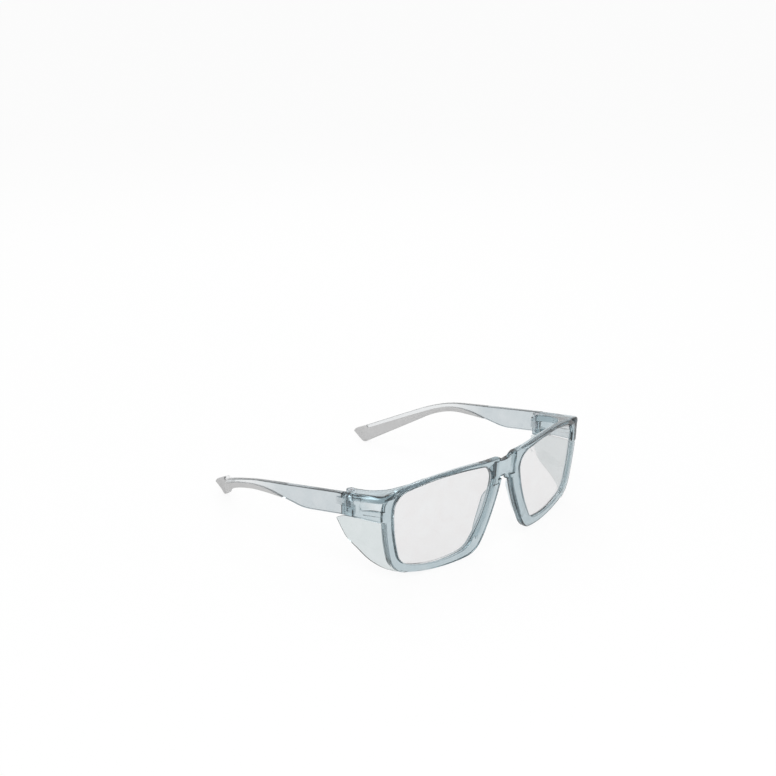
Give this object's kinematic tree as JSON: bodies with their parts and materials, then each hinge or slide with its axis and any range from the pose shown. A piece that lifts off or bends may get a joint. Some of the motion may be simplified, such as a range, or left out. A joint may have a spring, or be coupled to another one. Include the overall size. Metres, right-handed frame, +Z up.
{
  "type": "safety spectacles",
  "caption": "Clear safety spectacles: wraparound front with flat lenses and side shields, on folding temples with soft grips at their tips.",
  "frame": {"origin": "on the table, under the middle of the open spectacles' box", "axes": "+Z up, the wearer looks along -Y, the wearer's left is +X"},
  "size_m": [0.1512, 0.1548, 0.0485],
  "materials": {
    "front_polycarbonate": "clear blue-grey polycarbonate, polished",
    "lens_clear": "clear polycarbonate, hard coated",
    "shield_clear": "clear polycarbonate, polished",
    "temple_polycarbonate": "clear blue-grey polycarbonate, polished",
    "grip_rubber": "soft grey elastomer, matt",
    "screw_steel": "bright"
  },
  "bodies": {
    "front": {"front_frame": "front_polycarbonate", "lens_left": "lens_clear", "lens_right": "lens_clear", "side_shield_left": "shield_clear", "side_shield_right": "shield_clear", "hinge_screw_left": "screw_steel", "hinge_screw_right": "screw_steel"},
    "temple_left": {"temple_left": "temple_polycarbonate", "temple_grip_left": "grip_rubber"},
    "temple_right": {"temple_right": "temple_polycarbonate", "temple_grip_right": "grip_rubber"}
  },
  "joints": [
    {"name": "hinge_left", "type": "hinge", "parent": "front", "child": "temple_left", "pos_m": [0.0677, -0.0409, 0.035], "axis": [0, 0, 1], "range_deg": [0, 90]},
    {"name": "hinge_right", "type": "hinge", "parent": "front", "child": "temple_right", "pos_m": [-0.0677, -0.0409, 0.035], "axis": [0, 0, -1], "range_deg": [0, 82]}
  ]
}
